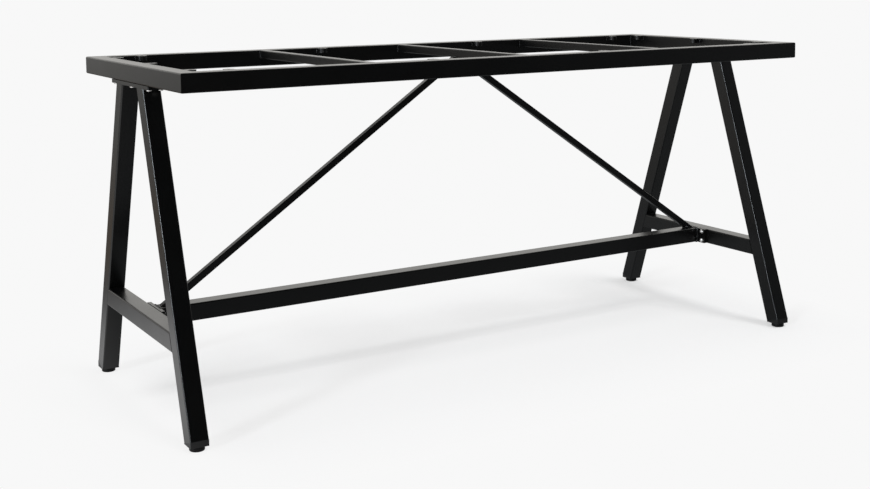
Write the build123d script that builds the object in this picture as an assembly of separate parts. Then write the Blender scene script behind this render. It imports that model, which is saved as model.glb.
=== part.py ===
from build123d import *
import math
import os

# Bar table base: a mitred top frame on two A-shaped leg frames, tied by a low stretcher
# and two thin braces. X runs along the table, Y across it, and Z up from the floor at 0.

# Overall size
HEIGHT = 955.0
LENGTH = 2100.0
WIDTH = 820.0

# Main square tube: rails, legs, leg crossbars and stretcher
TUBE = 50.0
TUBE_WALL = 2.5
TUBE_RADIUS = 4.0

# Crossbars of the top frame
BAR = 25.0
BAR_WALL = 2.0
BAR_RADIUS = 2.5
BAR_SPACING = 500.0

# Legs: each outer face meets the floor under the edge of the top frame
LEAN = 18.3
CROSSBAR_BOTTOM = 229.0

# Steel plates
PLATE = 10.0
TOP_PLATE_LENGTH = 314.0
END_PLATE_WIDTH = 122.0

# Braces from the stretcher to the middle crossbar
BRACE = 20.0
BRACE_WALL = 1.5
BRACE_RADIUS = 2.0
BRACE_FOOT_X = 968.0
BRACE_ANGLE = 34.06

# Fixing lugs inside the top frame, each with a hole for a screw into the table top
LUG_WIDTH = 30.0
LUG_DEPTH = 30.0
LUG_THICK = 15.0
LUG_DROP = 0.5
LUG_HOLE_RADIUS = 4.5
LUG_X = (-900.0, -300.0, 300.0, 900.0)
LUG_Y = (-300.0, 0.0, 300.0)

# Button head screws and the rivet nuts that hold them
SCREW_RADIUS = 4.0
SCREW_HEAD_RADIUS = 7.0
SCREW_HEAD = 4.4
SCREW_RIM = 1.4
SCREW_CROWN_RADIUS = 4.2
SOCKET = 5.0
SOCKET_DEPTH = 2.6
SCREW_SHANK = 22.0
SCREW_HOLE_RADIUS = 4.5
NUT_RADIUS = 5.5
NUT_BORE_RADIUS = 4.05
NUT_LENGTH = 16.0
SCREW_OFFSET = 16.0
TOP_SCREW_Y = (-140.0, 0.0, 140.0)
END_SCREW_Y = 46.0

# Feet: a wedge cap closes the square-cut leg, and a round glide sits under it
GLIDE_RADIUS = 20.0
GLIDE_HEIGHT = 12.6
GLIDE_LOWER_EDGE = 2.0
GLIDE_UPPER_EDGE = 1.0
GLIDE_STEM_RADIUS = 5.0
GLIDE_STEM = 22.0
STEM_CLEARANCE = 0.05
CAP_LIP = 1.2
CAP_PLUG = 22.0
CAP_PLUG_CLEARANCE = 0.1
CAP_EDGE = 1.0

# Places worked out from the sizes above
RAIL_BOTTOM = HEIGHT - TUBE
RAIL_AXIS = HEIGHT - TUBE / 2
END_X = LENGTH / 2 - TUBE / 2
INNER_X = LENGTH / 2 - TUBE
INNER_Y = WIDTH / 2 - TUBE
LEG_TOP = RAIL_BOTTOM - PLATE
CROSSBAR_TOP = CROSSBAR_BOTTOM + TUBE
CROSSBAR_AXIS = CROSSBAR_BOTTOM + TUBE / 2
STRETCHER_END = INNER_X - PLATE
BRACE_TOP = HEIGHT - BAR
SLOPE = math.tan(math.radians(LEAN))
LEG_HALF = TUBE / 2 / math.cos(math.radians(LEAN))
LEG_AXIS_FLOOR = WIDTH / 2 - LEG_HALF
CAP_BOTTOM = GLIDE_HEIGHT
GLIDE_Y = LEG_AXIS_FLOOR - CAP_BOTTOM * SLOPE - 1.0
SIDES = {"left": -1, "right": 1}
ENDS = {"front": -1, "back": 1}


def leg_axis_y(z):
    """Distance of a leg's centreline from the middle plane at height z."""
    return LEG_AXIS_FLOOR - z * SLOPE


def tube(size, wall, radius, length, plane):
    """Hollow square tube with rounded corners, centred on the plane's origin along its normal."""
    section = RectangleRounded(size, size, radius)
    section -= RectangleRounded(size - 2 * wall, size - 2 * wall, max(radius - wall, 0.5))
    return extrude(plane * section, length / 2, both=True)


def prism(points, plane, depth):
    """Solid with a polygon outline in the plane, as deep on both sides as given."""
    return extrude(plane * make_face(Polyline(*points, close=True)), depth, both=True)


def drill(radius, start, direction, depth):
    """Round cutter from a start point along a direction."""
    return extrude(Plane(start, z_dir=direction) * Circle(radius), depth)


def mitred_rail(length, plane):
    """Top frame rail along the plane's normal, mitred at both ends with its outer face the longer."""
    rail = tube(TUBE, TUBE_WALL, TUBE_RADIUS, length, plane)
    half = length / 2
    side = TUBE / 2
    outline = [(-half, side), (half, side), (half - TUBE, -side), (-half + TUBE, -side)]
    across = Plane(plane.origin, x_dir=plane.z_dir, z_dir=plane.x_dir)
    return rail & prism(outline, across, TUBE)


def long_rail(end):
    """Front or back rail, along X."""
    origin = (0, end * (WIDTH / 2 - TUBE / 2), RAIL_AXIS)
    return mitred_rail(LENGTH, Plane(origin, x_dir=(0, 0, end), z_dir=(1, 0, 0)))


def end_rail(side):
    """Left or right rail, along Y, with holes underneath for the rivet nuts."""
    origin = (side * END_X, 0, RAIL_AXIS)
    rail = mitred_rail(WIDTH, Plane(origin, x_dir=(0, 0, -side), z_dir=(0, 1, 0)))
    for x, y in top_screw_places(side):
        rail -= drill(NUT_RADIUS, (x, y, RAIL_BOTTOM - 1), (0, 0, 1), TUBE_WALL + 2)
    return rail


def top_screw_places(side):
    """Two rows of three screws under one end rail."""
    rows = (side * END_X - SCREW_OFFSET, side * END_X + SCREW_OFFSET)
    return [(x, y) for y in TOP_SCREW_Y for x in rows]


def end_screw_places():
    """Four screws of one stretcher end plate, as (y, z)."""
    rows = (CROSSBAR_AXIS - SCREW_OFFSET, CROSSBAR_AXIS + SCREW_OFFSET)
    return [(y, z) for y in (-END_SCREW_Y, END_SCREW_Y) for z in rows]


def top_crossbar(x):
    """Thin bar across the top frame, flush with its upper face."""
    middle = (x, 0, HEIGHT - BAR / 2)
    return tube(BAR, BAR_WALL, BAR_RADIUS, 2 * INNER_Y, Plane(middle, z_dir=(0, 1, 0)))


def lug(x, y, inward):
    """Thick tab with a round nose and a screw hole, welded to a rail's inner face at (x, y)."""
    straight = LUG_DEPTH - LUG_WIDTH / 2
    nose = Pos(straight, 0) * Circle(LUG_WIDTH / 2)
    tab = Pos(straight / 2, 0) * Rectangle(straight, LUG_WIDTH)
    outline = tab + nose - Pos(LUG_DEPTH / 2, 0) * Circle(LUG_HOLE_RADIUS)
    top = HEIGHT - LUG_DROP
    return extrude(Plane((x, y, top), x_dir=inward, z_dir=(0, 0, 1)) * outline, -LUG_THICK)


def leg(side, end):
    """Leaning leg: level cut under the top plate, square cut above the foot."""
    length = 2 * HEIGHT
    middle = (side * END_X, end * leg_axis_y(LEG_TOP / 2), LEG_TOP / 2)
    axis = (0, -end * SLOPE, 1)
    body = tube(TUBE, TUBE_WALL, TUBE_RADIUS, length, Plane(middle, x_dir=(1, 0, 0), z_dir=axis))
    body = split(body, bisect_by=Plane((0, 0, LEG_TOP), z_dir=(0, 0, 1)), keep=Keep.BOTTOM)
    return split(body, bisect_by=foot_cut(end), keep=Keep.TOP)


def foot_cut(end):
    """Plane of a leg's square-cut lower end, with its normal up the leg."""
    corner_z = CAP_BOTTOM + CAP_LIP
    corner_y = leg_axis_y(corner_z) - LEG_HALF
    return Plane((0, end * corner_y, corner_z), x_dir=(1, 0, 0), z_dir=(0, -end * SLOPE, 1))


def leg_crossbar(side):
    """Level tube between the two legs of one end, its ends cut to their lean."""
    middle = (side * END_X, 0, CROSSBAR_AXIS)
    bar = tube(TUBE, TUBE_WALL, TUBE_RADIUS, WIDTH, Plane(middle, z_dir=(0, 1, 0)))
    low = leg_axis_y(CROSSBAR_BOTTOM) - LEG_HALF
    high = leg_axis_y(CROSSBAR_TOP) - LEG_HALF
    lower = [(-low, CROSSBAR_BOTTOM), (low, CROSSBAR_BOTTOM)]
    upper = [(high, CROSSBAR_TOP), (-high, CROSSBAR_TOP)]
    bar &= prism(lower + upper, Plane((side * END_X, 0, 0), x_dir=(0, 1, 0), z_dir=(1, 0, 0)), TUBE)
    for y, z in end_screw_places():
        bar -= drill(NUT_RADIUS, (side * (INNER_X - 1), y, z), (side, 0, 0), TUBE_WALL + 2)
    return bar


def top_plate(side):
    """Flat plate on top of one pair of legs, screwed up into the end rail."""
    outline = RectangleRounded(TUBE, TOP_PLATE_LENGTH, 3)
    plate = extrude(Plane((side * END_X, 0, LEG_TOP)) * outline, PLATE)
    for x, y in top_screw_places(side):
        plate -= drill(SCREW_HOLE_RADIUS, (x, y, LEG_TOP - 1), (0, 0, 1), PLATE + 2)
    return plate


def stretcher():
    """Low tube along the table between the two end plates."""
    middle = (0, 0, CROSSBAR_AXIS)
    return tube(TUBE, TUBE_WALL, TUBE_RADIUS, 2 * STRETCHER_END, Plane(middle, z_dir=(1, 0, 0)))


def stretcher_end_plate(side):
    """Plate on one end of the stretcher, wider than the tube, with four screw holes."""
    outline = RectangleRounded(END_PLATE_WIDTH, TUBE, 3)
    face = Plane((side * STRETCHER_END, 0, CROSSBAR_AXIS), x_dir=(0, 1, 0), z_dir=(side, 0, 0))
    plate = extrude(face * outline, PLATE)
    for y, z in end_screw_places():
        plate -= drill(SCREW_HOLE_RADIUS, (side * (STRETCHER_END - 1), y, z), (side, 0, 0), PLATE + 2)
    return plate


def brace(side):
    """Thin tube from the stretcher's top to the middle crossbar, mitred against its twin."""
    run = math.cos(math.radians(BRACE_ANGLE))
    rise = math.sin(math.radians(BRACE_ANGLE))
    foot = (side * BRACE_FOOT_X, 0, CROSSBAR_TOP)
    bar = tube(BRACE, BRACE_WALL, BRACE_RADIUS, 2 * LENGTH, Plane(foot, z_dir=(-side * run, 0, rise)))
    bar = split(bar, bisect_by=Plane((0, 0, CROSSBAR_TOP), z_dir=(0, 0, 1)), keep=Keep.TOP)
    bar = split(bar, bisect_by=Plane((0, 0, BRACE_TOP), z_dir=(0, 0, 1)), keep=Keep.BOTTOM)
    return split(bar, bisect_by=Plane((0, 0, 0), z_dir=(side, 0, 0)), keep=Keep.TOP)


def screw(seat, direction):
    """Button head screw: its head's flat face on the seat, its shank along the direction."""
    outline = [
        (0, SCREW_SHANK),
        (SCREW_RADIUS, SCREW_SHANK),
        (SCREW_RADIUS, 0),
        (SCREW_HEAD_RADIUS, 0),
        (SCREW_HEAD_RADIUS, -SCREW_RIM),
        (SCREW_CROWN_RADIUS, -SCREW_HEAD),
        (0, -SCREW_HEAD),
    ]
    body = revolve(Plane.XZ * make_face(Polyline(*outline, close=True)), Axis.Z)
    socket = Plane((0, 0, -SCREW_HEAD)) * RegularPolygon(SOCKET / 2, 6, major_radius=False)
    body -= extrude(socket, SOCKET_DEPTH)
    return Plane(seat, z_dir=direction).location * body


def rivet_nut(mouth, direction):
    """Threaded sleeve set in a tube wall, flush with the wall's outer face."""
    ring = Circle(NUT_RADIUS) - Circle(NUT_BORE_RADIUS)
    return extrude(Plane(mouth, z_dir=direction) * ring, NUT_LENGTH)


def glide(side, end):
    """Round moulded glide with bevelled rims and a stem up into the cap."""
    r = GLIDE_RADIUS
    h = GLIDE_HEIGHT
    outline = [
        (0, 0),
        (r - GLIDE_LOWER_EDGE, 0),
        (r, GLIDE_LOWER_EDGE),
        (r, h - GLIDE_UPPER_EDGE),
        (r - GLIDE_UPPER_EDGE, h),
        (GLIDE_STEM_RADIUS, h),
        (GLIDE_STEM_RADIUS, h + GLIDE_STEM),
        (0, h + GLIDE_STEM),
    ]
    body = revolve(Plane.XZ * make_face(Polyline(*outline, close=True)), Axis.Z)
    return Pos(side * END_X, end * GLIDE_Y, 0) * body


def foot_cap(side, end):
    """Wedge that levels the square-cut leg, with a plug inside the tube and a hole for the glide."""
    cut = foot_cut(end)
    corner = cut.origin
    drop = TUBE * math.sin(math.radians(LEAN))
    outer_y = corner.Y + end * TUBE * math.cos(math.radians(LEAN))
    outline = [
        (corner.Y, CAP_BOTTOM),
        (outer_y, CAP_BOTTOM),
        (outer_y, corner.Z + drop),
        (corner.Y, corner.Z),
    ]
    wedge = prism(outline, Plane((side * END_X, 0, 0), x_dir=(0, 1, 0), z_dir=(1, 0, 0)), TUBE / 2)
    wedge = chamfer(wedge.edges().filter_by(Axis.Z), CAP_EDGE)
    plug_size = TUBE - 2 * TUBE_WALL - 2 * CAP_PLUG_CLEARANCE
    mid_y = (corner.Y + outer_y) / 2
    seat = Plane((side * END_X, mid_y, corner.Z + drop / 2), x_dir=(1, 0, 0), z_dir=cut.z_dir)
    plug = extrude(seat * RectangleRounded(plug_size, plug_size, TUBE_RADIUS - TUBE_WALL), CAP_PLUG)
    hole = drill(
        GLIDE_STEM_RADIUS + STEM_CLEARANCE,
        (side * END_X, end * GLIDE_Y, CAP_BOTTOM - 1),
        (0, 0, 1),
        GLIDE_STEM + 3,
    )
    return wedge + plug - hole


def save(name, shape):
    """Write one node's STEP file."""
    export_step(shape, os.path.join("parts", name + ".step"))


def save_group(name, solids):
    """Write one node made of separate like pieces."""
    save(name, Compound(children=solids))


os.makedirs("parts", exist_ok=True)

# Top frame
for name, end in ENDS.items():
    save(f"top_rail_{name}", long_rail(end))
    save_group(f"fixing_lugs_{name}", [lug(x, end * INNER_Y, (0, -end, 0)) for x in LUG_X])
for name, side in SIDES.items():
    save(f"top_rail_{name}", end_rail(side))
    save_group(f"fixing_lugs_{name}", [lug(side * INNER_X, y, (-side, 0, 0)) for y in LUG_Y])
for name, place in {"left": -1, "middle": 0, "right": 1}.items():
    save(f"top_crossbar_{name}", top_crossbar(place * BAR_SPACING))

# Leg frames and feet
for side_name, side in SIDES.items():
    save(f"top_plate_{side_name}", top_plate(side))
    save(f"leg_crossbar_{side_name}", leg_crossbar(side))
    for end_name, end in ENDS.items():
        place = f"{end_name}_{side_name}"
        save(f"leg_{place}", leg(side, end))
        save(f"foot_cap_{place}", foot_cap(side, end))
        save(f"foot_glide_{place}", glide(side, end))

# Stretcher and braces
save("stretcher", stretcher())
for name, side in SIDES.items():
    save(f"stretcher_end_plate_{name}", stretcher_end_plate(side))
    save(f"brace_{name}", brace(side))

# Screws and rivet nuts
UP = (0, 0, 1)
for name, side in SIDES.items():
    places = top_screw_places(side)
    screws = [screw((x, y, LEG_TOP), UP) for x, y in places]
    nuts = [rivet_nut((x, y, RAIL_BOTTOM), UP) for x, y in places]
    save_group(f"top_plate_screws_{name}", screws)
    save_group(f"rail_rivet_nuts_{name}", nuts)
    outward = (side, 0, 0)
    places = end_screw_places()
    screws = [screw((side * STRETCHER_END, y, z), outward) for y, z in places]
    nuts = [rivet_nut((side * INNER_X, y, z), outward) for y, z in places]
    save_group(f"stretcher_screws_{name}", screws)
    save_group(f"crossbar_rivet_nuts_{name}", nuts)
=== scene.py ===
import math
import bpy
from mathutils import Matrix, Vector


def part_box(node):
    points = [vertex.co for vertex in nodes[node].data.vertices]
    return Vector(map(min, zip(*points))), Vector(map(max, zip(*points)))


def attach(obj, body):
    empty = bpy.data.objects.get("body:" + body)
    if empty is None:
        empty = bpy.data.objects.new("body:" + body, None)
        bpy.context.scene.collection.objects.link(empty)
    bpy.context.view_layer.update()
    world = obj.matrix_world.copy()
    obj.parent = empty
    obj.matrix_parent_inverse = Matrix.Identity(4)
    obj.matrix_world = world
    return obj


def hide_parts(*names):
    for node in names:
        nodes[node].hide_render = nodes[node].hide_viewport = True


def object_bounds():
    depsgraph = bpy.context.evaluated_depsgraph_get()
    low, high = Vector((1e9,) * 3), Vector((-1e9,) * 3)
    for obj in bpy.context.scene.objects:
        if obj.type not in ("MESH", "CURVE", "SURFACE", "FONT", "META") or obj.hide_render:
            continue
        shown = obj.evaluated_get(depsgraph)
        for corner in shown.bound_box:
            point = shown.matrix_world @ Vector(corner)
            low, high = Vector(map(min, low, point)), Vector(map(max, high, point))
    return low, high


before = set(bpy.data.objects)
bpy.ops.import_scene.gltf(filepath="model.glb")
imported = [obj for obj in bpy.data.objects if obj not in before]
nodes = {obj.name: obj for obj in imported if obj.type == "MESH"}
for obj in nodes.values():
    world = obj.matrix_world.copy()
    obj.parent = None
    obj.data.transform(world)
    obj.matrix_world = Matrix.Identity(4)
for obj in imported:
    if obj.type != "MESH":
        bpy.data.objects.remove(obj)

cad_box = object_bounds()

# Camera
# A camera a little above the table's height, to the left of the front, as in the photograph.
# The photograph is the lower part of a larger frame, so the lens is shifted down.
picture_width = 870
focal_length_px = 1245.0
lens_axis_row = 101.0
picture_middle_row = 244.5
camera_place = (-2.0737, -3.2927, 1.1816)
camera_turn = 31.12
camera_dip = 5.71
camera_roll = -0.56

camera_data = bpy.data.cameras.new("camera")
camera_data.sensor_fit = "HORIZONTAL"
camera_data.sensor_width = 36.0
camera_data.lens = focal_length_px / picture_width * camera_data.sensor_width
camera_data.shift_y = (lens_axis_row - picture_middle_row) / picture_width
camera_data.clip_end = 200.0
camera = bpy.data.objects.new("camera", camera_data)
bpy.context.collection.objects.link(camera)
turn = Matrix.Rotation(math.radians(-camera_turn), 4, "Z")
dip = Matrix.Rotation(math.radians(90 - camera_dip), 4, "X")
roll = Matrix.Rotation(math.radians(camera_roll), 4, "Z")
camera.matrix_world = Matrix.Translation(camera_place) @ turn @ dip @ roll
bpy.context.scene.camera = camera
bpy.context.scene.view_settings.view_transform = "Standard"


# Studio
# A white sweep in soft light, with a softbox above and a cool strobe at the left. What the object's
# gloss mirrors is black in front, a bright backdrop behind, and a cool panel low at the left.
class Value:
    """One output of a shader node, so that an expression on values adds its Math nodes."""

    def __init__(self, shader, socket):
        self.shader = shader
        self.socket = socket

    def _math(self, operation, *values, clamp=False):
        settings = {"operation": operation, "use_clamp": clamp}
        return self.shader.node("ShaderNodeMath", settings, dict(enumerate(values)))

    def __add__(self, other):
        return self._math("ADD", self, other)

    def __radd__(self, other):
        return self._math("ADD", other, self)

    def __sub__(self, other):
        return self._math("SUBTRACT", self, other)

    def __rsub__(self, other):
        return self._math("SUBTRACT", other, self)

    def __mul__(self, other):
        return self._math("MULTIPLY", self, other)

    def __rmul__(self, other):
        return self._math("MULTIPLY", other, self)

    def __truediv__(self, other):
        return self._math("DIVIDE", self, other)

    def __rtruediv__(self, other):
        return self._math("DIVIDE", other, self)

    def __abs__(self):
        return self._math("ABSOLUTE", self)

    def root(self):
        return self._math("SQRT", self)

    def maximum(self, other):
        return self._math("MAXIMUM", self, other)

    def ramp(self, start, stop):
        """0 at start and 1 at stop, straight in between and held beyond."""
        return self._math("DIVIDE", self - start, stop - start, clamp=True)


class Shader:
    """A new material, or a sky, whose nodes are added one call at a time."""

    def __init__(self, owner):
        owner.use_nodes = True
        self.owner = owner
        self.is_sky = isinstance(owner, bpy.types.World)
        self.tree = owner.node_tree
        self.tree.nodes.clear()

    def node(self, kind, settings=None, values=None, output=0):
        """Any node: its settings first, then a value or a link for each named socket."""
        made = self.tree.nodes.new(kind)
        for name, setting in (settings or {}).items():
            setattr(made, name, setting)
        for name, value in (values or {}).items():
            if isinstance(value, Value):
                self.tree.links.new(value.socket, made.inputs[name])
            else:
                made.inputs[name].default_value = value
        return Value(self, made.outputs[output]) if len(made.outputs) else None

    def parts(self, vector):
        """The three numbers of a vector."""
        separate = self.node("ShaderNodeSeparateXYZ", values={0: vector}).socket.node
        return [Value(self, socket) for socket in separate.outputs]

    def position(self):
        """The three coordinates of a point, in metres in the object's own frame."""
        return self.parts(self.node("ShaderNodeTexCoord", output="Object"))

    def noise(self, size, detail=2.0, roughness=0.5):
        """Cloudy noise from 0 to 1 whose patches are about the given size in metres."""
        place = self.node("ShaderNodeTexCoord", output="Object")
        values = {"Vector": place, "Scale": 1 / size, "Detail": detail, "Roughness": roughness}
        return self.node("ShaderNodeTexNoise", values=values)

    def mix_colour(self, factor, first, second):
        """A blend of two colours."""
        values = {0: factor, 6: (*first, 1.0), 7: (*second, 1.0)}
        return self.node("ShaderNodeMix", {"data_type": "RGBA"}, values, output=2)

    def glow(self, strength, colour=(1.0, 1.0, 1.0)):
        """An even glow, of the sky or of a surface."""
        kind = "ShaderNodeBackground" if self.is_sky else "ShaderNodeEmission"
        return self.node(kind, values={"Color": (*colour, 1.0), "Strength": strength})

    def mix(self, factor, first, second):
        """A blend of two skies or surfaces."""
        return self.node("ShaderNodeMixShader", values={0: factor, 1: first, 2: second})

    def finish(self, surface):
        """Puts the finished sky or surface on its output."""
        kind = "ShaderNodeOutputWorld" if self.is_sky else "ShaderNodeOutputMaterial"
        self.node(kind, values={"Surface": surface})


white = 0.938
soft_light = 0.56
warm_grey = (1.0, 0.985, 0.945)
cool_grey = (0.93, 0.97, 1.0)
black_cloth = 0.012
backdrop_low = 0.50
backdrop_high = 1.12
ceiling_grey = 0.08
side_grey = 0.10
upper_side_grey = 0.20

sky = Shader(bpy.data.worlds.new("studio"))
bpy.context.scene.world = sky.owner
toward_x, toward_y, toward_z = sky.parts(sky.node("ShaderNodeTexCoord", output="Generated"))
up_backdrop = toward_z.ramp(0.0, 0.12)
over_left_end = toward_z.ramp(0.26, 0.34) * toward_x.ramp(-0.05, -0.20)
up_side = toward_z.ramp(0.10, 0.35)
to_right = toward_x.ramp(0.42, 0.77)
to_front = toward_y.ramp(0.15, -0.10)
backdrop = sky.mix(up_backdrop, sky.glow(backdrop_low, warm_grey), sky.glow(backdrop_high, warm_grey))
sky_behind = sky.mix(over_left_end, backdrop, sky.glow(ceiling_grey))
side_wall = sky.mix(up_side, sky.glow(side_grey, cool_grey), sky.glow(upper_side_grey, cool_grey))
sky_in_front = sky.mix(to_right, sky.glow(black_cloth), side_wall)
mirrored_sky = sky.mix(to_front, sky_behind, sky_in_front)
seen = sky.node("ShaderNodeLightPath", output="Is Camera Ray")
seen_through = sky.node("ShaderNodeLightPath", output="Is Transmission Ray")
mirrored = sky.node("ShaderNodeLightPath", output="Is Glossy Ray")
plain_sky = sky.mix(seen.maximum(seen_through), sky.glow(soft_light), sky.glow(white))
sky.finish(sky.mix(mirrored, plain_sky, mirrored_sky))

floor_reach = 14.0
floor_sides = 64
floor_white = (0.98, 0.98, 0.98, 1.0)
shadow_share = 0.50
shadow_reach = 0.32
left_shadow_share = 0.2
brown_grey = (1.0, 0.80, 0.62)
floor_grey = 0.25
far_floor_grey = 0.28
left_floor_white = 0.95
floor_side_grey = 0.17
near_floor_grey = 0.17

ring = [2 * math.pi * step / floor_sides for step in range(floor_sides)]
edge = [(floor_reach * math.cos(a), floor_reach * math.sin(a), 0.0) for a in ring]
floor_mesh = bpy.data.meshes.new("floor")
floor_mesh.from_pydata(edge, [], [tuple(range(floor_sides))])
floor = bpy.data.objects.new("floor", floor_mesh)
bpy.context.collection.objects.link(floor)

# The floor keeps half of the object's shadow near the object and is even white further away. By the left
# end most of that shadow is painted over with white, as painted light.
paint = Shader(bpy.data.materials.new("floor_paint"))
x, y = paint.position()[:2]
past_ends = (abs(x) - cad_box[1][0]).maximum(0.0)
past_sides = (abs(y) - cad_box[1][1]).maximum(0.0)
away = (past_ends * past_ends + past_sides * past_sides).root()
# Painted light: towards the left end the shadow is mostly covered by the white glow.
right_of_left_end = left_shadow_share + (1 - left_shadow_share) * x.ramp(-1.03, -0.89)
shadow = shadow_share * away.ramp(shadow_reach, 0.0) * right_of_left_end
painted = paint.node("ShaderNodeBsdfDiffuse", values={"Color": floor_white})
plain_floor = paint.mix(shadow, paint.glow(white), painted)

# Mirrored in the object, it is grey behind, white by the left end and nearly black in front.
far_back = y.ramp(2.5, 5.0)
back_left = y.ramp(1.0, 2.0) * x.ramp(-0.8, -1.4)
by_left_end = x.ramp(-0.85, -1.15) * y.ramp(1.35, 0.55)
near_front = y.ramp(-2.2, -0.8)
far_right = (x + 0.6 * y).ramp(0.0, 3.0)
in_front = y.ramp(0.55, -0.10) * x.ramp(-1.1, -0.9)
floor_behind = paint.mix(back_left, paint.glow(floor_grey, cool_grey), paint.glow(floor_grey, brown_grey))
floor_behind = paint.mix(far_back, floor_behind, paint.glow(far_floor_grey, warm_grey))
floor_behind = paint.mix(by_left_end, floor_behind, paint.glow(left_floor_white))
floor_in_front = paint.mix(far_right, paint.glow(black_cloth), paint.glow(floor_side_grey, cool_grey))
floor_in_front = paint.mix(near_front, floor_in_front, paint.glow(near_floor_grey, cool_grey))
mirrored_floor = paint.mix(in_front, floor_behind, floor_in_front)
mirrored = paint.node("ShaderNodeLightPath", output="Is Glossy Ray")
paint.finish(paint.mix(mirrored, plain_floor, mirrored_floor))
floor.data.materials.append(paint.owner)


def distant_lamp(name, toward, strength, disc, colour):
    """A far lamp in the given direction, with a disc of so many degrees."""
    data = bpy.data.lights.new(name, "SUN")
    data.energy = strength
    data.angle = math.radians(disc)
    data.color = colour
    lamp = bpy.data.objects.new(name, data)
    bpy.context.collection.objects.link(lamp)
    lamp.rotation_euler = Vector(toward).to_track_quat("Z", "Y").to_euler()
    return lamp


overhead = distant_lamp("overhead_softbox", (0.2, -0.5, 1.0), 1.10, 18, (1.0, 1.0, 1.0))
overhead.visible_glossy = False
strobe = distant_lamp("left_strobe", (-3.0, -1.2, 1.0), 1.10, 9, (0.92, 0.96, 1.0))
strobe.visible_glossy = False
panel = distant_lamp("left_panel", (-3.2, -0.9, 1.0), 2.5, 20, (0.86, 0.93, 1.0))
panel.visible_diffuse = False

# Top frame rails
# Four lengths of 50 mm square steel tube, mitred at the corners, welded and ground flush, then
# sprayed with satin black powder. The seam of each mitre still shows as a fine line.
seam_width = 0.0012


def mitre_seams(coat):
    """Closeness to the seams of the top frame's mitres, 1 on a seam."""
    x, y = coat.position()[:2]
    corner = cad_box[1]
    return abs((abs(x) - corner[0]) - (abs(y) - corner[1])).ramp(seam_width, 0.0)


def powder_coat(name, seams=None):
    """Satin black powder coat: fine orange peel, uneven gloss, and the seams of ground welds."""
    coat = Shader(bpy.data.materials.new(name))
    clouds = coat.noise(0.09, detail=3.0)
    peel = coat.noise(0.0022, detail=2.0)
    grain = coat.noise(0.0006, detail=1.0)
    colour = coat.mix_colour(clouds, (0.0006, 0.0006, 0.0007), (0.0014, 0.0014, 0.0014))
    dullness = 0.24 + 0.07 * clouds + 0.05 * peel
    height = 0.6 * peel + 0.4 * grain
    if seams:
        groove = seams(coat)
        height = height - 2.5 * groove
        dullness = dullness + 0.15 * groove
    bump = coat.node("ShaderNodeBump", values={"Strength": 0.10, "Distance": 0.0002, "Height": height})
    values = {"Base Color": colour, "Roughness": dullness, "Normal": bump, "IOR": 1.5}
    coat.finish(coat.node("ShaderNodeBsdfPrincipled", values=values))
    return coat.owner


def dress(material, *names):
    """Puts one material on the named CAD nodes."""
    for name in names:
        slots = nodes[name].material_slots
        if not slots:
            nodes[name].data.materials.append(material)
        for held in slots:
            held.material = material


sides = {"left": -1, "right": 1}
ends = {"front": -1, "back": 1}
rail_coat = powder_coat("rail_powder_coat", mitre_seams)
black_coat = powder_coat("black_powder_coat")
for name in (*sides, *ends):
    dress(rail_coat, f"top_rail_{name}")


def mesh_piece(name, vertices, faces, smooth, material):
    """One mesh object from its points and faces, with a mark for each face that is shaded smooth."""
    mesh = bpy.data.meshes.new(name)
    mesh.from_pydata([tuple(v) for v in vertices], [], faces)
    mesh.polygons.foreach_set("use_smooth", smooth)
    mesh.materials.append(material)
    piece = bpy.data.objects.new(name, mesh)
    bpy.context.collection.objects.link(piece)
    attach(piece, "root")
    return piece


def weld_bead(name, points, size, closed=False):
    """A hand-laid bead along a line: overlapping ripples, a little uneven, thin at its open ends."""
    bead_sides = 10
    ring_spacing = 0.0011
    end_share = 0.35
    circle = [2 * math.pi * n / bead_sides for n in range(bead_sides)]
    line = [Vector(p) for p in points] + ([Vector(points[0])] if closed else [])
    rings = []
    travelled = 0.0
    for start, stop in zip(line, line[1:]):
        length = (stop - start).length
        along = (stop - start).normalized()
        side = along.orthogonal().normalized()
        up = along.cross(side)
        steps = max(2, round(length / ring_spacing))
        for step in range(steps + 1):
            reach = length * step / steps
            # A ripple every 2.5 mm, on a slow swell of 20 mm.
            s = travelled + reach
            ripple = 0.86 + 0.20 * abs(math.sin(s * 1250)) + 0.07 * math.sin(s * 310 + 1.3)
            first = step == 0 and not closed and start is line[0]
            last = step == steps and not closed and stop is line[-1]
            radius = size * ripple * (end_share if first or last else 1.0)
            centre = start + along * reach
            rings.append([centre + radius * (math.cos(a) * side + math.sin(a) * up) for a in circle])
        travelled += length
    vertices = [point for one in rings for point in one]
    faces = []
    for n in range(len(rings) - 1):
        for m in range(bead_sides):
            a, b = n * bead_sides + m, n * bead_sides + (m + 1) % bead_sides
            faces.append((a, b, b + bead_sides, a + bead_sides))
    faces.append(tuple(reversed(range(bead_sides))))
    faces.append(tuple(range(len(vertices) - bead_sides, len(vertices))))
    bead = mesh_piece(name, vertices, faces, [True] * len(faces), black_coat)


rail_low, rail_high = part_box("top_rail_front")
rail_bottom, rail_top = rail_low[2], rail_high[2]
tube = rail_top - rail_bottom
tube_radius = 0.004
inner_x = rail_high[0] - tube
inner_y = -rail_low[1] - tube
mitre_bead = 0.0020
mitre_bead_inset = 0.0004
for side_name, side in sides.items():
    for end_name, end in ends.items():
        corner = (side * (inner_x - mitre_bead_inset), end * (inner_y - mitre_bead_inset))
        line = [(*corner, rail_bottom + tube_radius), (*corner, rail_top - tube_radius)]
        weld_bead(f"mitre_weld_{end_name}_{side_name}", line, mitre_bead)

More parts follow.
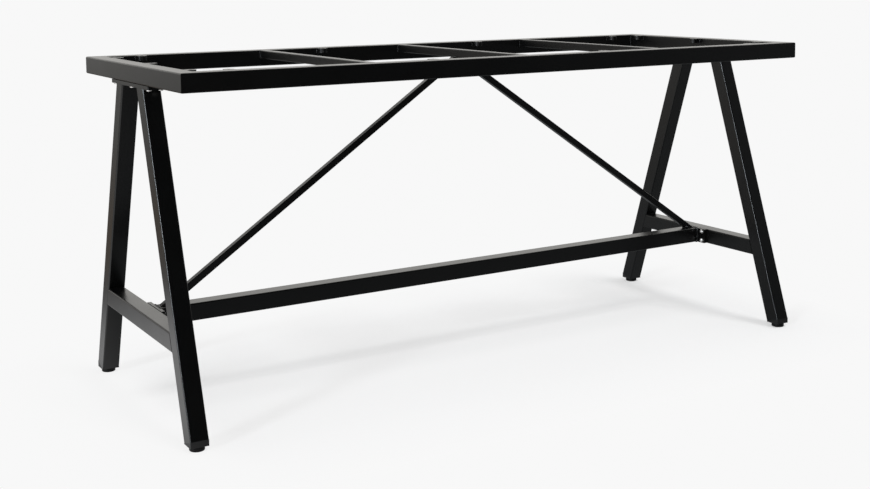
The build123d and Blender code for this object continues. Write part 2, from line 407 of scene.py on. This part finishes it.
# Top crossbars
# Three 25 mm square tubes across the frame, level with its top. Each end is welded to the rail
# down both sides and underneath, and the top is left clear for the table top to lie flat.
crossbar_bead = 0.0019
bead_inset = 0.0003
clear_of_top = 0.003
bar_corner = 0.001
for name in ("left", "middle", "right"):
    node = f"top_crossbar_{name}"
    dress(black_coat, node)
    bar_low, bar_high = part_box(node)
    for end_name, end in ends.items():
        y = end * (inner_y - bead_inset)
        line = [
            (bar_low[0], y, bar_high[2] - clear_of_top),
            (bar_low[0], y, bar_low[2] + bar_corner),
            (bar_low[0] + bar_corner, y, bar_low[2]),
            (bar_high[0] - bar_corner, y, bar_low[2]),
            (bar_high[0], y, bar_low[2] + bar_corner),
            (bar_high[0], y, bar_high[2] - clear_of_top),
        ]
        weld_bead(f"crossbar_weld_{name}_{end_name}", line, crossbar_bead)

# Fixing lugs
# Thick round-nosed steel tabs on the inner faces of the rails, level with the top, each with a
# hole for the screw that holds the table top. A bead runs down both sides of a tab and under it.
lug_width = 0.030
lug_bead = 0.0022
for name in (*sides, *ends):
    dress(black_coat, f"fixing_lugs_{name}")
lug_low, lug_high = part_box("fixing_lugs_front")
end_lug_low, end_lug_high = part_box("fixing_lugs_right")


def lug_middles(low, high, count):
    """Middles of lugs spread evenly from the first one's low side to the last one's high side."""
    step = (high - low - lug_width) / (count - 1)
    return [low + lug_width / 2 + n * step for n in range(count)]


def line_round_lug(middle):
    """The bead's line round one lug, as places along the rail and heights."""
    near, far = middle - lug_width / 2, middle + lug_width / 2
    top, under = lug_high[2] - clear_of_top, lug_low[2]
    return [(near, top), (near, under), (far, under), (far, top)]


for end_name, end in ends.items():
    y = end * (inner_y - bead_inset)
    for number, middle in enumerate(lug_middles(lug_low[0], lug_high[0], 4)):
        line = [(x, y, z) for x, z in line_round_lug(middle)]
        weld_bead(f"lug_weld_{end_name}_{number}", line, lug_bead)
for side_name, side in sides.items():
    x = side * (inner_x - bead_inset)
    for number, middle in enumerate(lug_middles(end_lug_low[1], end_lug_high[1], 3)):
        line = [(x, y, z) for y, z in line_round_lug(middle)]
        weld_bead(f"lug_weld_{side_name}_{number}", line, lug_bead)

# Leg frames
# Each end is one welded A: a flat plate, two leaning legs of the same 50 mm tube and a level
# crossbar between them, all welded right round and powder coated as one piece.
plate_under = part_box("top_plate_right")[0][2]
bar_low, bar_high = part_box("leg_crossbar_right")
bar_middle = (bar_low[2] + bar_high[2]) / 2
lean = math.radians(18.3)
slope = math.tan(lean)
leg_half = tube / 2 / math.cos(lean)
leg_axis_floor = -rail_low[1] - leg_half
leg_x = (bar_low[0] + bar_high[0]) / 2
bar_seam_end = 0.001
plate_bead = 0.0032
plate_bead_drop = 0.0006
leg_bead = 0.0026


def leg_seams(coat):
    """Closeness to the ground seams of a leg frame, at the plate and at both ends of the crossbar."""
    x, y, z = coat.position()
    inner_face = leg_axis_floor - leg_half - z * slope
    at_bar_end = abs(abs(y) - inner_face).ramp(seam_width, 0.0)
    beside_bar = (abs(z - bar_middle) - tube / 2).ramp(bar_seam_end, 0.0)
    at_plate = abs(z - plate_under).ramp(seam_width, 0.0)
    return (at_bar_end * beside_bar).maximum(at_plate)


leg_coat = powder_coat("leg_powder_coat", leg_seams)
flat = tube / 2 - tube_radius
for side_name, side in sides.items():
    dress(leg_coat, f"top_plate_{side_name}", f"leg_crossbar_{side_name}")
    x = side * leg_x
    for end_name, end in ends.items():
        place = f"{end_name}_{side_name}"
        dress(leg_coat, f"leg_{place}")
        for part, half in (("outer", leg_half), ("inner", -leg_half)):
            z = plate_under - plate_bead_drop
            y = end * (leg_axis_floor - z * slope + half)
            weld_bead(f"plate_weld_{part}_{place}", [(x - flat, y, z), (x + flat, y, z)], plate_bead)
        for part, z in (("upper", bar_high[2]), ("lower", bar_low[2])):
            y = end * (leg_axis_floor - z * slope - leg_half)
            weld_bead(f"leg_weld_{part}_{place}", [(x - flat, y, z), (x + flat, y, z)], leg_bead)


# Feet
# A moulded wedge cap levels the square-cut end of each leg, and a round black plastic glide with
# a softened rim is pressed up into it.
def moulded_plastic(name, refraction):
    """Black moulded plastic: fine spark texture, duller than the powder coat."""
    plastic = Shader(bpy.data.materials.new(name))
    clouds = plastic.noise(0.02, detail=2.0)
    texture = plastic.noise(0.0004, detail=2.0)
    colour = plastic.mix_colour(clouds, (0.0025, 0.0025, 0.0028), (0.0050, 0.0050, 0.0052))
    bump = plastic.node("ShaderNodeBump", values={"Strength": 0.25, "Distance": 0.0001, "Height": texture})
    values = {"Base Color": colour, "Roughness": 0.42 + 0.12 * clouds, "Normal": bump, "IOR": refraction}
    plastic.finish(plastic.node("ShaderNodeBsdfPrincipled", values=values))
    return plastic.owner


def rim(radius, height, edge, quarter):
    """Points of a rounded rim: quarter 0 is the lower edge and 1 the upper edge."""
    points = []
    for step in range(6):
        a = math.radians(-90 + 18 * step + 90 * quarter)
        points.append((radius - edge + edge * math.cos(a), height + edge * math.sin(a)))
    return points


def turned_glide(name, outline, place, steps=72):
    """A glide turned from its outline of (radius, height) points."""
    turns = [2 * math.pi * step / steps for step in range(steps)]
    vertices = []
    for radius, height in outline:
        for a in turns:
            offset = (radius * math.cos(a), radius * math.sin(a), height)
            vertices.append(tuple(p + o for p, o in zip(place, offset)))
    faces = []
    for n in range(len(outline) - 1):
        for m in range(steps):
            a, b = n * steps + m, n * steps + (m + 1) % steps
            faces.append((a, b, b + steps, a + steps))
    faces.append(tuple(reversed(range(steps))))
    faces.append(tuple(range(len(vertices) - steps, len(vertices))))
    smooth = [True] * (len(faces) - 2) + [False] * 2
    return mesh_piece(name, vertices, faces, smooth, glide_plastic)


black_plastic = moulded_plastic("black_plastic", 1.50)
glide_plastic = moulded_plastic("glide_plastic", 1.27)
glide_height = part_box("foot_cap_back_right")[0][2]
lower_edge = 0.0025
upper_edge = 0.0012
underside_hollow = 0.004
stem_radius = 0.005
stem_height = 0.020
stem_point = 0.001
for side_name in sides:
    for end_name in ends:
        place = f"{end_name}_{side_name}"
        dress(black_plastic, f"foot_cap_{place}")
        low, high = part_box(f"foot_glide_{place}")
        radius = (high[0] - low[0]) / 2
        centre = ((low[0] + high[0]) / 2, (low[1] + high[1]) / 2, low[2])
        outline = [(underside_hollow, 0.0), *rim(radius, lower_edge, lower_edge, 0)]
        outline += rim(radius, glide_height - upper_edge, upper_edge, 1)
        outline += [(stem_radius, glide_height), (stem_radius, glide_height + stem_height)]
        outline += [(stem_point, glide_height + stem_height)]
        glide = turned_glide(f"glide_{place}", outline, centre)
        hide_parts(f"foot_glide_{place}")

# Stretcher
# One long 50 mm tube runs between the leg frames. A drilled plate is welded on each end of it and
# is screwed to the crossbar of the legs.
dress(black_coat, "stretcher")
run_low, run_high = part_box("stretcher")
run_middle = (run_low[2] + run_high[2]) / 2
stretcher_bead = 0.0032
stretcher_bead_inset = 0.0006
stretcher_bead_height = tube - 0.002


def rounded_loop(middle, across, along, width, length, radius):
    """Points round a rectangle with rounded corners, in the plane of two directions."""
    points = []
    for quarter, (u, v) in enumerate(((1, 1), (-1, 1), (-1, -1), (1, -1))):
        for step in range(4):
            a = math.radians(90 * quarter + 30 * step)
            x = u * (width / 2 - radius) + radius * math.cos(a)
            y = v * (length / 2 - radius) + radius * math.sin(a)
            points.append(Vector(middle) + x * Vector(across) + y * Vector(along))
    return points


for side_name, side in sides.items():
    dress(black_coat, f"stretcher_end_plate_{side_name}")
    middle = (side * (run_high[0] - stretcher_bead_inset), 0, run_middle)
    loop = rounded_loop(middle, (0, 1, 0), (0, 0, 1), tube, stretcher_bead_height, tube_radius)
    weld_bead(f"stretcher_weld_{side_name}", loop, stretcher_bead, closed=True)

# Braces
# Two 20 mm square tubes rise from the stretcher and meet in a mitre under the middle crossbar.
# They are welded all round to the stretcher, to each other and to the crossbar.
dress(black_coat, "brace_left", "brace_right")
brace_low, brace_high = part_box("brace_right")
middle_low, middle_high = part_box("top_crossbar_middle")
brace = brace_high[1] - brace_low[1]
brace_top = brace_high[2]
rise = math.radians(34.06)
cut = brace / math.sin(rise)
foot_x = brace_high[0] - cut / 2
climb = (brace_top - brace_low[2]) / math.tan(rise)
head_x = foot_x - climb + cut / 2
mitre_low = brace_top - (cut - head_x) * math.tan(rise)
brace_corner = 0.002
seam_gap = 0.0005
tip_inset = 0.001
foot_bead = 0.0020
head_bead = 0.0022
tip_bead = 0.0016
side_bead = 0.0018
seam_x = middle_high[0] + seam_gap
seam_z = middle_low[2] + seam_gap
tip_x = head_x - tip_inset
tip_y = brace / 2 - brace_corner
for side_name, side in sides.items():
    foot = (side * foot_x, 0, run_high[2] + seam_gap)
    loop = rounded_loop(foot, (0, 1, 0), (1, 0, 0), brace, cut, brace_corner)
    weld_bead(f"brace_foot_weld_{side_name}", loop, foot_bead, closed=True)
    line = [(side * seam_x, -brace / 2, seam_z), (side * seam_x, brace / 2, seam_z)]
    weld_bead(f"brace_head_weld_{side_name}", line, head_bead)
    line = [(side * tip_x, -tip_y, brace_top), (side * tip_x, tip_y, brace_top)]
    weld_bead(f"brace_tip_weld_{side_name}", line, tip_bead)
for end_name, end in ends.items():
    y = end * brace / 2
    line = [(0, y, mitre_low), (0, y, brace_top - tip_inset)]
    weld_bead(f"brace_seam_{end_name}", line, tip_bead)
    line = [(-middle_high[0], y, brace_top), (middle_high[0], y, brace_top)]
    weld_bead(f"brace_side_weld_{end_name}", line, side_bead)


# Screws and rivet nuts
# Zinc plated button head screws with a hexagon socket hold the plates, each in a steel rivet nut
# set in the wall of the tube behind.
def zinc_plate(name):
    """Bright zinc: pale steel with faint streaks and soft rub marks."""
    zinc = Shader(bpy.data.materials.new(name))
    streaks = zinc.noise(0.0015, detail=3.0, roughness=0.7)
    colour = zinc.mix_colour(streaks, (0.80, 0.78, 0.76), (0.92, 0.90, 0.87))
    bump = zinc.node("ShaderNodeBump", values={"Strength": 0.15, "Distance": 0.0001, "Height": streaks})
    values = {"Base Color": colour, "Roughness": 0.26 + 0.14 * streaks, "Metallic": 0.85, "Normal": bump}
    zinc.finish(zinc.node("ShaderNodeBsdfPrincipled", values=values))
    return zinc.owner


bright_zinc = zinc_plate("bright_zinc")
head_radius = 0.007
head_height = 0.0044
rim_height = 0.0014
shank_radius = 0.004
shank_bevel = 0.0006
socket_half = 0.0025
socket_lip = 0.0007
socket_floor = 0.0026 - head_height
drill_point = 0.0006


def button_screws(name, seats, direction, length):
    """Button head screws with domed heads, hexagon sockets and bevelled shanks, as one mesh."""
    steps = 48
    dome_steps = 8
    turns = [2 * math.pi * step / steps for step in range(steps)]
    circle = [1.0] * steps
    hexagon = [1 / math.cos((a + math.pi / 6) % (math.pi / 3) - math.pi / 6) for a in turns]
    # Each ring is a shape, a radius and a distance past the seat, from the shank's tip to the socket.
    rings = [
        (circle, 0.0003, length),
        (circle, shank_radius - shank_bevel, length),
        (circle, shank_radius, length - shank_bevel),
        (circle, shank_radius, 0.0),
        (circle, head_radius, 0.0),
        (circle, head_radius, -rim_height),
    ]
    dome_start = len(rings) - 1
    lip = socket_half + socket_lip
    for step in range(1, dome_steps + 1):
        a = math.radians(90 * step / dome_steps)
        radius = lip + (head_radius - lip) * math.cos(a)
        rings.append((circle, radius, -rim_height - (head_height - rim_height) * math.sin(a)))
    dome_stop = len(rings) - 1
    rings.append((hexagon, socket_half, -head_height))
    rings.append((hexagon, socket_half, socket_floor))
    rings.append((hexagon, 0.0002, socket_floor + drill_point))
    along = Vector(direction)
    side = along.orthogonal().normalized()
    up = along.cross(side)
    vertices = []
    faces = []
    smooth = []
    for seat in seats:
        first = len(vertices)
        for shape, radius, reach in rings:
            for a, scale in zip(turns, shape):
                out = radius * scale * (math.cos(a) * side + math.sin(a) * up)
                vertices.append(Vector(seat) + out + reach * along)
        for n in range(len(rings) - 1):
            for m in range(steps):
                a, b = first + n * steps + m, first + n * steps + (m + 1) % steps
                faces.append((a, a + steps, b + steps, b))
                smooth.append(dome_start <= n < dome_stop)
    screws = mesh_piece(name, vertices, faces, smooth, bright_zinc)
    return screws


for side_name, side in sides.items():
    dress(bright_zinc, f"rail_rivet_nuts_{side_name}", f"crossbar_rivet_nuts_{side_name}")
    low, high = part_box(f"top_plate_screws_{side_name}")
    seat = low[2] + head_height
    rows = (low[1] + head_radius, (low[1] + high[1]) / 2, high[1] - head_radius)
    seats = [(x, y, seat) for x in (low[0] + head_radius, high[0] - head_radius) for y in rows]
    screws = button_screws(f"plate_screws_{side_name}", seats, (0, 0, 1), high[2] - seat)
    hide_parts(f"top_plate_screws_{side_name}")
    low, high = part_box(f"stretcher_screws_{side_name}")
    inner, outer = sorted((abs(low[0]), abs(high[0])))
    seat = side * (inner + head_height)
    columns = (low[1] + head_radius, high[1] - head_radius)
    seats = [(seat, y, z) for y in columns for z in (low[2] + head_radius, high[2] - head_radius)]
    screws = button_screws(f"end_plate_screws_{side_name}", seats, (side, 0, 0), outer - abs(seat))
    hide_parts(f"stretcher_screws_{side_name}")
